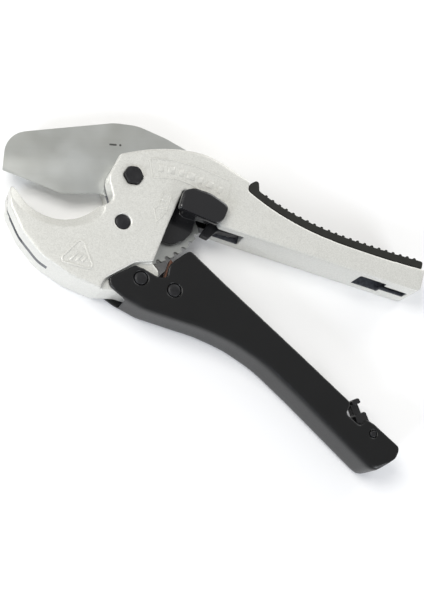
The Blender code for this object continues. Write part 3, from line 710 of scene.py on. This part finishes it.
def etched_marks():
    """A short dash and a dot burnt dark into both sides of the plate."""
    pieces = []
    for low, high in ((0.7, 0.93), (-0.93, -0.7)):
        pieces.append(plate("dash", rounded([(-13.6, 16.0, 0.4), (-10.2, 17.0, 0.4), (-9.9, 16.1, 0.4),
                                             (-13.3, 15.1, 0.4)]), low, high))
        pieces.append(bar("dot", (-8.4, 17.0), 0.55, low, high, 20))
    return join("blade_marks", pieces)


burnt = Finish("burnt_mark", (0.03, 0.03, 0.028), 0.55)
burnt.set("Base Color", burnt.mix(burnt.noise(1500, 3), (0.015, 0.015, 0.015, 1), (0.10, 0.10, 0.09, 1)))
burnt.set("Roughness", 0.45 + 0.2 * burnt.noise(900, 2))
dress(etched_marks(), "blade", "black_oxide", burnt.material, smooth=30)


# ------------------------------------------------------------------ pins, washer and bushes
# The pins are plain black steel, with a small turned crown at each end. The washer under the
# bolt's nut is blacked too, and the bushes that turn inside are bright steel.

def black_oxide():
    black = Finish("black_oxide", (0.02, 0.02, 0.022), 0.4, 0.4, Specular_IOR_Level=0.4)
    haze = black.noise(400, 3)
    black.set("Roughness", 0.3 + 0.25 * haze)
    black.set("Base Color", black.mix(haze, (0.011, 0.011, 0.012, 1), (0.03, 0.03, 0.032, 1)))
    black.bump(black.noise(1800, 2), 0.00003, 0.6)
    return black.material


def spring_steel():
    bright = Finish("spring_steel", (0.5, 0.5, 0.5), 0.3, 1.0)
    bright.set("Roughness", 0.22 + 0.25 * bright.noise(500, 2))
    return bright.material


def turned_pin(name, centre, radius, low, high, crown=0.35):
    """A pin whose ends are slightly domed, from a profile turned about its axis."""
    profile = [(0, high), (radius * 0.55, high - crown * 0.12), (radius * 0.85, high - crown * 0.45),
               (radius * 0.97, high - crown), (radius, high - crown * 1.6)]
    profile += [(r, low + high - z) for r, z in reversed(profile)]
    work = bmesh.new()
    verts = [work.verts.new((centre[0] + r, centre[1], z)) for r, z in profile]
    edges = [work.edges.new(pair) for pair in zip(verts, verts[1:])]
    bmesh.ops.spin(work, geom=verts + edges, cent=(centre[0], centre[1], 0), axis=(0, 0, 1), angle=math.tau,
                   steps=40, use_merge=False)
    bmesh.ops.remove_doubles(work, verts=work.verts, dist=1e-4)
    return add(name, work)


oxide = black_oxide()
retint("bolt_washer", oxide)
steel = spring_steel()
for node in ("blade_bush", "handle_bush"):
    retint(node, steel)
for node, body, radius in (
        ("stop_pin", "frame", 3.5), ("hold_pawl_pin", "frame", 1.6), ("handle_pivot_pin", "handle", 3.0),
        ("drive_pawl_pin", "handle", 3.0), ("lock_pin", "handle", 1.6)):
    made = turned_pin(node + "_turned", node_place(node), radius, reach_of(node, 2, 0), reach_of(node, 2, 1))
    dress(made, body, "black_oxide", oxide, node, smooth=50)


# ------------------------------------------------------------------ rubber insert
# A dark rubber strip lies in a seat along the top of the upper handle. It has a raised lip at
# the front, and narrow ribs across it.

GRIP_HEIGHT = 4.7             # from the seat to the top of the ribs
RIB = 0.55
RIBS = {"Count": 22, "Rib Radius": 0.8 * MM, "Rib Length": (2 * HALF - 2.6) * MM}


def rubber():
    strip = Finish("rubber", (0.02, 0.02, 0.017), 0.7, Specular_IOR_Level=0.3)
    grime = strip.noise(300, 3)
    strip.set("Base Color", strip.mix(grime, (0.009, 0.009, 0.007, 1), (0.026, 0.026, 0.022, 1)))
    strip.set("Roughness", 0.6 + 0.2 * grime)
    strip.bump(strip.noise(2500, 2), 0.00005, 0.8)
    return strip.material


def grip_outline():
    start = GRIP_START + GAP
    end = HANDLE_REACH - 1.6
    under = [(x, seat_height(x) + GAP) for x in np.linspace(start, end, 40)]
    top = [(x, seat_height(x) + GRIP_HEIGHT - RIB) for x in np.linspace(end, start + 5.2, 40)]
    top[0] = (*top[0], 2.0)
    return rounded(under + top + [(start + 3.7, 19.9, 1.5), (start, 16.0, 1.2)])


def rib_tree(look):
    """Ribs set across a guide line, each square to it."""
    tree = bpy.data.node_groups.new("grip_ribs", "GeometryNodeTree")
    tree.interface.new_socket("Guide", in_out="INPUT", socket_type="NodeSocketGeometry")
    for name, kind in (("Count", "NodeSocketInt"), ("Rib Radius", "NodeSocketFloat"),
                       ("Rib Length", "NodeSocketFloat")):
        tree.interface.new_socket(name, in_out="INPUT", socket_type=kind)
    tree.interface.new_socket("Ribs", in_out="OUTPUT", socket_type="NodeSocketGeometry")

    def node(kind, **settings):
        made = tree.nodes.new(kind)
        for key, value in settings.items():
            setattr(made, key, value)
        return made

    start, end = node("NodeGroupInput"), node("NodeGroupOutput")
    curve = node("GeometryNodeMeshToCurve")
    points = node("GeometryNodeCurveToPoints", mode="COUNT")
    rod = node("GeometryNodeMeshCylinder")
    rod.inputs["Vertices"].default_value = 14
    put = node("GeometryNodeInstanceOnPoints")
    real = node("GeometryNodeRealizeInstances")
    paint = node("GeometryNodeSetMaterial")
    paint.inputs["Material"].default_value = look
    for source, target in (
            (start.outputs["Guide"], curve.inputs["Mesh"]), (curve.outputs["Curve"], points.inputs["Curve"]),
            (start.outputs["Count"], points.inputs["Count"]),
            (start.outputs["Rib Radius"], rod.inputs["Radius"]),
            (start.outputs["Rib Length"], rod.inputs["Depth"]),
            (points.outputs["Points"], put.inputs["Points"]), (rod.outputs["Mesh"], put.inputs["Instance"]),
            (put.outputs["Instances"], real.inputs["Geometry"]),
            (real.outputs["Geometry"], paint.inputs["Geometry"]),
            (paint.outputs["Geometry"], end.inputs["Ribs"])):
        tree.links.new(source, target)
    return tree


def grip_ribs(look):
    work = bmesh.new()
    xs = np.linspace(GRIP_START + 9.6, HANDLE_REACH - 5.9, 60)
    verts = [work.verts.new((x, seat_height(x) + GRIP_HEIGHT - RIB + 0.35, 0)) for x in xs]
    for pair in zip(verts, verts[1:]):
        work.edges.new(pair)
    guide = add("grip_ribs", work)
    modifier = guide.modifiers.new("ribs", "NODES")
    tree = rib_tree(look)
    modifier.node_group = tree
    for item in tree.interface.items_tree:
        if item.item_type == "SOCKET" and item.in_out == "INPUT" and item.name in RIBS:
            modifier[item.identifier] = RIBS[item.name]
    bake(guide)
    edge = guide.modifiers.new("edge", "BEVEL")
    edge.width = 0.35 * MM
    edge.segments = 2
    edge.limit_method = "ANGLE"
    edge.angle_limit = math.radians(60)
    return bake(guide)


strip_look = rubber()
strip = plate("grip_strip", grip_outline(), 0.5 - HALF, HALF - 0.5)
soften(remesh(strip, size=0.33), rounds=8)
dress(thin_out(strip, triangles=90000), "frame", "rubber", strip_look, "handle_grip", smooth=0)
dress(grip_ribs(strip_look), "frame", "rubber", strip_look, smooth=35)


# ------------------------------------------------------------------ lower handle
# A steel channel, pressed from sheet with a broad rounded back and powder coated matt black.
# Its two cheeks straddle the lug of the frame, and two rivets cross it there.

WALL = 2.2


def black_coat():
    coat = Finish("black_coat", (0.012, 0.012, 0.0125), 0.4, Specular_IOR_Level=0.42)
    grain = coat.noise(1400, 3)
    tone = coat.mix(coat.noise(50, 3), (0.0035, 0.0036, 0.0038, 1), (0.007, 0.0072, 0.0075, 1))
    coat.set("Base Color", tone)
    coat.set("Roughness", 0.27 + 0.14 * grain)
    coat.bump(grain, 0.00005, 0.8)
    return coat.material


def handle_back():
    return [(2.2, -54.3, 4), (9.0, -57.6, 6), (20.0, -60.3, 14), (49.0, -60.8, 50), (64.0, -63.0, 40),
            (80.0, -68.2, 60), (100.0, -79.0, 90), (142.4, -103.4, 4)]


def handle_outline():
    px, py = HANDLE_PIVOT
    end = [(152.0, -94.0, 4), (153.4, -88.6, 2.5)]
    catch_notch = [(138.8, -81.2, 1.5), (134.4, -79.8, 1), (131.6, -83.8, 1.4), (123.8, -80.0, 1.4),
                   (125.2, -74.4, 2)]
    front = [(96.5, -59.2, 60), (51.5, -35.8, 60), (34.2, -26.4, 2.2)]
    cheek = [(28.6, -33.0, 6), (26.2, -36.8, 4), (26.6, -42.8, 1.6), (22.6, -43.6, 2), (15.5, -41.9, 2),
             (px - 3.9, py + 5.3, 1.6), (0.8, -51.0, 1.5)]
    return rounded(handle_back() + end + catch_notch + front + cheek)


def cavity_outline():
    """The inside of the channel, open towards the upper handle."""
    spine = handle_back()[2:]
    inner = []
    for i, (x, y, radius) in enumerate(spine):
        run = Vector(spine[min(i + 1, len(spine) - 1)][:2]) - Vector(spine[max(i - 1, 0)][:2])
        out = Vector((-run.y, run.x)).normalized() * WALL
        inner.append((x + out.x, y + out.y, radius))
    inner[-1] = (142.0 - WALL, -103.0 + 2 * WALL, 3)
    return rounded([(-10, -70), (9.5, -70), (9.5, inner[0][1] + 0.6)] + inner
                   + [(152.6 - WALL, -88.0, 1), (160, -60), (60, -10), (-10, -10)])


def shoulder(x, y):
    """Near 1 along the rounded back, and 0 along the open side."""
    back = -60.6 - max(0.0, x - 55) * 0.49
    return ramp(back + 11 - y, 0, 4) * ramp(x, 5, 14) * ramp(-x, -149, -143)


def channel_mesh():
    outer = plate("channel", handle_outline(), -HALF, HALF)
    remesh(outer, size=0.5)
    melt(outer, 190, shoulder)
    inner = remesh(plate("hollow", cavity_outline(), WALL - HALF, HALF - WALL), size=0.5)
    combine(outer, melt(inner, 80, shoulder))
    for node, radius in (("handle_pivot_pin", 3.3), ("drive_pawl_pin", 3.3), ("lock_pin", 1.9)):
        combine(outer, bar("cut", node_place(node), radius, -BEYOND, BEYOND))
    remesh(outer, size=0.42)
    soften(outer, rounds=4)
    return thin_out(outer, triangles=170000)


channel = channel_mesh()
dress(channel, "handle", "black_coat", black_coat(), "lower_handle", smooth=0)
channel.name = "channel_handle"


# ------------------------------------------------------------------ lever, bolt, pawls and catch
# The thumb lever and the catch are moulded in glossy black plastic. The bolt with its hexagon
# head, the nut and the holding pawl are blacked steel, and the drive pawl is copper-brown.

def soft_copy(name, node, voxel, rounds):
    """The CAD node's own solid with its edges softened, as moulded or tumbled."""
    made = link(name, frame["nodes"][node].data.copy())
    work = bmesh.new()
    work.from_mesh(made.data)
    bmesh.ops.remove_doubles(work, verts=work.verts, dist=1e-7)
    work.to_mesh(made.data)
    work.free()
    remesh(made, voxel)
    soften(made, rounds)
    return thin_out(made, triangles=60000)


def gloss_black():
    plastic = Finish("gloss_black", (0.012, 0.012, 0.013), 0.16, Coat_Weight=0.3, Coat_Roughness=0.08)
    smudge = plastic.noise(180, 4)
    plastic.set("Roughness", 0.1 + 0.18 * smudge)
    plastic.bump(plastic.noise(350, 2), 0.00004, 0.3)
    return plastic.material


def brown_steel():
    brown = Finish("brown_steel", (0.14, 0.06, 0.04), 0.42, 0.5)
    patch = brown.noise(400, 4)
    brown.set("Base Color", brown.mix(patch, (0.09, 0.04, 0.027, 1), (0.20, 0.095, 0.06, 1)))
    brown.set("Roughness", 0.3 + 0.25 * patch)
    return brown.material


gloss = gloss_black()
for name, node, body, slot, look, voxel, rounds in (
        ("thumb_lever", "release_lever", "lever", "gloss_black", gloss, 0.25, 6),
        ("thumb_lever_far", "release_lever_far", "lever", "gloss_black", gloss, 0.25, 5),
        ("hex_bolt", "blade_bolt", "frame", "black_oxide", oxide, 0.14, 2),
        ("hex_nut", "blade_nut", "frame", "black_oxide", oxide, 0.14, 2),
        ("holding_pawl", "hold_pawl", "hold_pawl", "black_oxide", oxide, 0.15, 3),
        ("pushing_pawl", "drive_pawl", "drive_pawl", "brown_steel", brown_steel(), 0.15, 3),
        ("folding_catch", "lock_catch", "catch", "gloss_black", gloss, 0.18, 3)):
    dress(soft_copy(name, node, voxel, rounds), body, slot, look, node, smooth=0)
retint("lever_rivet", gloss)


# ------------------------------------------------------------------ springs
# Each spring is round wire wound on a helix, bright from the coiling. They return the handle,
# the lever, the two pawls and the catch, and sit in the casting or between the two cheeks.

def coil(name, centre, radius, wire, low, high, turns, upright=True):
    steps = 24                # points in a turn
    count = int(turns * steps)
    data = bpy.data.curves.new(name, "CURVE")
    data.dimensions = "3D"
    data.bevel_depth = wire / 2 * MM
    data.bevel_resolution = 2
    data.use_fill_caps = True
    spline = data.splines.new("POLY")
    spline.points.add(count)
    for i, point in enumerate(spline.points):
        angle = math.tau * i / steps
        along = low + wire / 2 + (high - low - wire) * i / count
        across = (radius * math.cos(angle), radius * math.sin(angle))
        if upright:
            spot = (centre[0] + across[0], centre[1] + across[1], along)
        else:
            spot = (centre[0] + across[0], along, across[1])
        point.co = (*(BOLT + Vector(spot) * MM), 1)
    wound = link(name, data)
    mesh = bpy.data.meshes.new_from_object(wound.evaluated_get(bpy.context.evaluated_depsgraph_get()))
    bpy.data.objects.remove(wound, do_unlink=True)
    return link(name, mesh)


# Centre, radius of the coil, diameter of the wire, from where to where, and turns
for node, body, sizes in (
        ("handle_return_spring", "frame", (HANDLE_PIVOT, 5.65, 0.7, -7.3, -3.9, 3)),
        ("release_spring", "frame", ((0, 0), 4.65, 0.5, 3.7, 6.7, 3)),
        ("hold_pawl_spring", "frame", ((56.6, 0), 1.2, 0.4, -1.9, 1.3, 4, False)),
        ("drive_pawl_spring", "handle", (node_place("drive_pawl_pin"), 4.0, 0.6, 2.6, 7.5, 4)),
        ("lock_spring", "handle", (node_place("lock_pin"), 2.5, 0.4, 5.1, 7.5, 3))):
    dress(coil(node + "_wire", *sizes), body, "spring_steel", steel, node, smooth=60)
